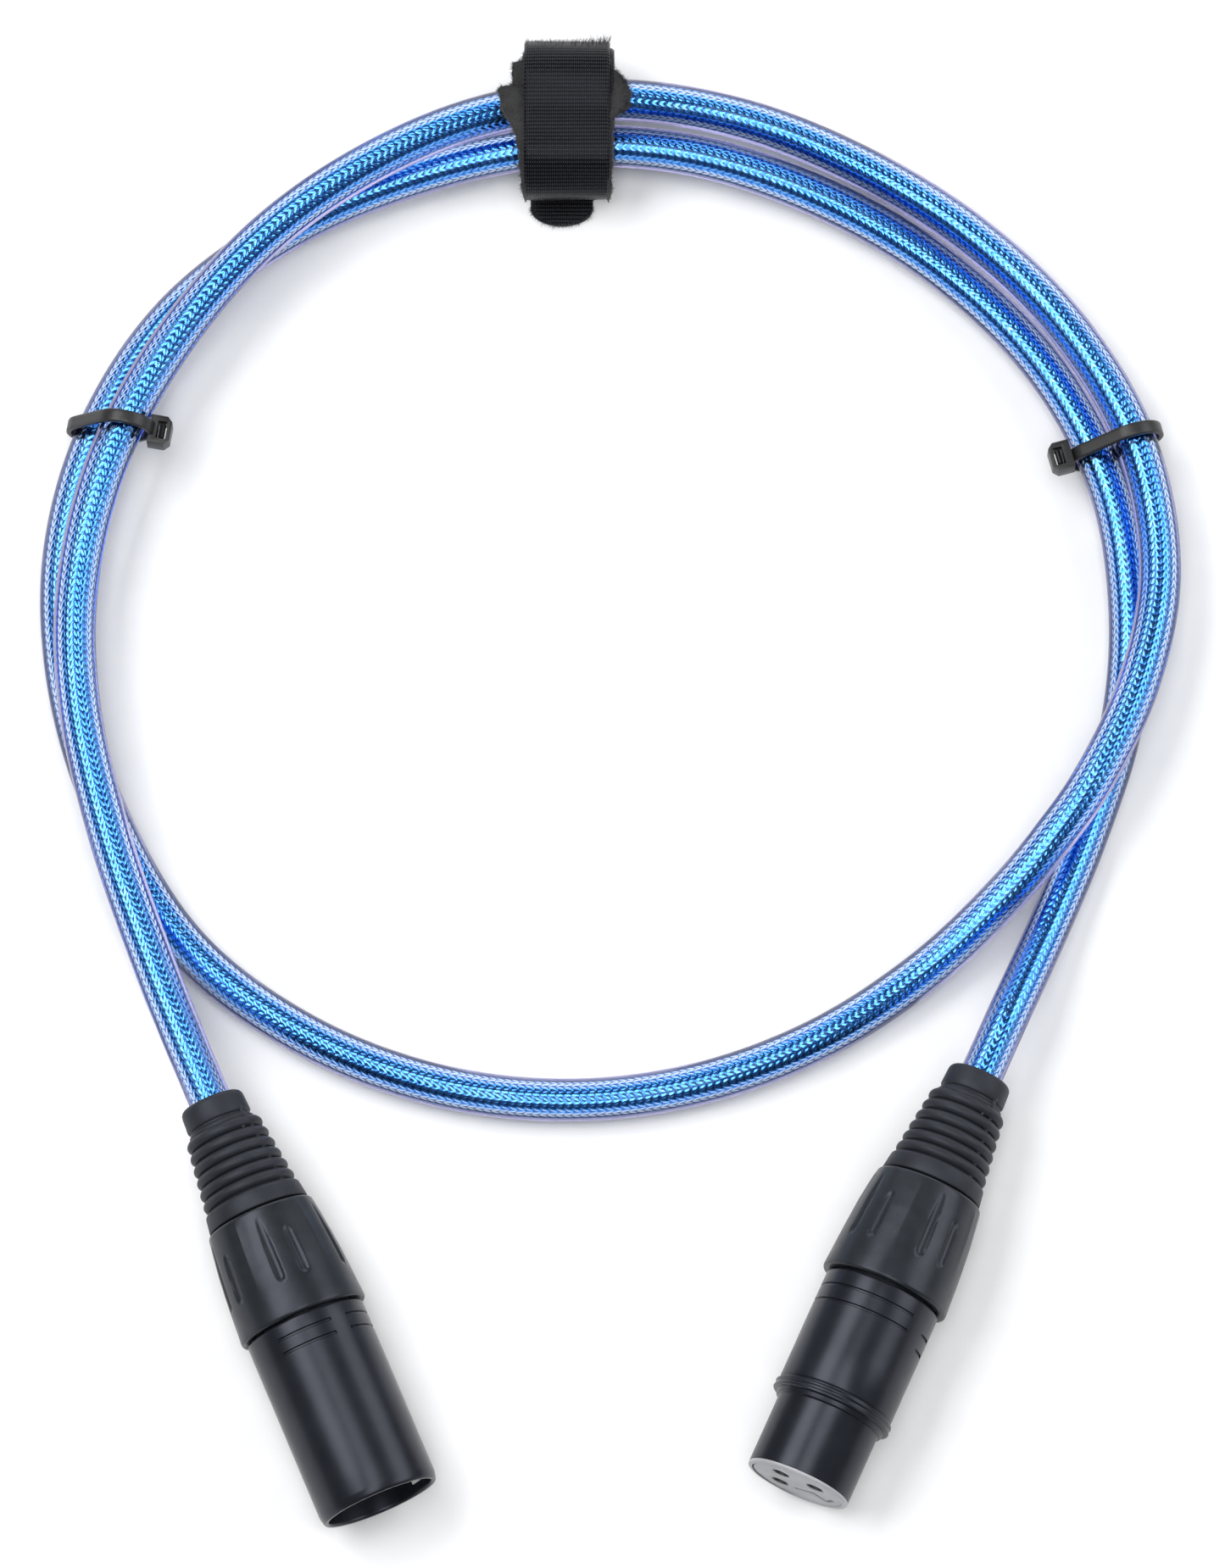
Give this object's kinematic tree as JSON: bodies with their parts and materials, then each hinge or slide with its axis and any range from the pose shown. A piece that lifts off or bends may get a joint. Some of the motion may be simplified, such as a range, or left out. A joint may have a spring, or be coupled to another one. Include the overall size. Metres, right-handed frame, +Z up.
{
  "type": "xlr cable coil",
  "caption": "Short microphone cable with a male and a female locking plug, laid in a ring and held by a hook-and-loop strap and cable ties",
  "frame": {"origin": "centre of the plugs, ties and strap seen from above, on the surface that the coil lies on", "axes": "+Y from the plugs towards the strap across the ring, +Z up off the table, +X from the male plug's side to the female plug's side"},
  "size_m": [0.1762, 0.2365, 0.0201],
  "materials": {
    "cable_jacket": "clear blue jacket over a silver braid",
    "boot_rubber": "matt moulded",
    "nut_plastic": "matt moulded",
    "collet_plastic": "natural nylon",
    "shell_metal": "satin black",
    "insert_black": "moulded",
    "insert_grey": "satin moulded",
    "contact_metal": "bright nickel",
    "latch_metal": "satin black",
    "spring_steel": "bright",
    "screen_copper": "bare copper strand",
    "core_red": "smooth",
    "core_white": "smooth",
    "tie_nylon": "satin moulded",
    "strap_fabric": "woven nylon"
  },
  "bodies": {
    "cable_body": {"male_chuck": "collet_plastic", "male_shell": "shell_metal", "male_insert": "insert_black", "male_pin_1": "contact_metal", "male_pin_2": "contact_metal", "male_pin_3": "contact_metal", "male_key_strip": "contact_metal", "male_screen": "screen_copper", "male_hot_core": "core_red", "male_cold_core": "core_white", "female_chuck": "collet_plastic", "female_shell": "shell_metal", "female_insert": "insert_grey", "female_contact_1": "contact_metal", "female_contact_2": "contact_metal", "female_contact_3": "contact_metal", "female_latch_spring": "spring_steel", "female_screen": "screen_copper", "female_hot_core": "core_red", "female_cold_core": "core_white", "cable": "cable_jacket", "tie_left": "tie_nylon", "tie_right": "tie_nylon", "strap_loop_tape": "strap_fabric", "strap_hook_tape": "strap_fabric"},
    "male_boot_body": {"male_boot": "boot_rubber"},
    "male_nut_body": {"male_nut": "nut_plastic"},
    "female_boot_body": {"female_boot": "boot_rubber"},
    "female_nut_body": {"female_nut": "nut_plastic"},
    "latch_body": {"female_latch": "latch_metal"}
  },
  "joints": [
    {"name": "male_back_off", "type": "slide", "parent": "cable_body", "child": "male_boot_body", "axis": [-0.3906, 0.9203, 0.0227], "range_m": [0, 0.004]},
    {"name": "male_nut_turn", "type": "hinge", "parent": "male_boot_body", "child": "male_nut_body", "pos_m": [-0.05026, -0.07847, 0.01026], "axis": [-0.3906, 0.9203, 0.0227], "range_deg": [0, 1440]},
    {"name": "female_back_off", "type": "slide", "parent": "cable_body", "child": "female_boot_body", "axis": [0.4067, 0.9134, -0.0175], "range_m": [0, 0.004]},
    {"name": "female_nut_turn", "type": "hinge", "parent": "female_boot_body", "child": "female_nut_body", "pos_m": [0.04481, -0.07397, 0.00989], "axis": [0.4067, 0.9134, -0.0175], "range_deg": [0, 1440]},
    {"name": "latch_press", "type": "hinge", "parent": "cable_body", "child": "latch_body", "pos_m": [0.04155, -0.09209, 0.00582], "axis": [-0.651, 0.2763, -0.707], "range_deg": [0, 3.2], "stiffness_Nm_per_rad": 0.15}
  ],
  "couplings": [
    {"joint": "male_nut_turn", "follows": "male_back_off", "rad_per_m": 6283.2},
    {"joint": "female_nut_turn", "follows": "female_back_off", "rad_per_m": 6283.2}
  ]
}
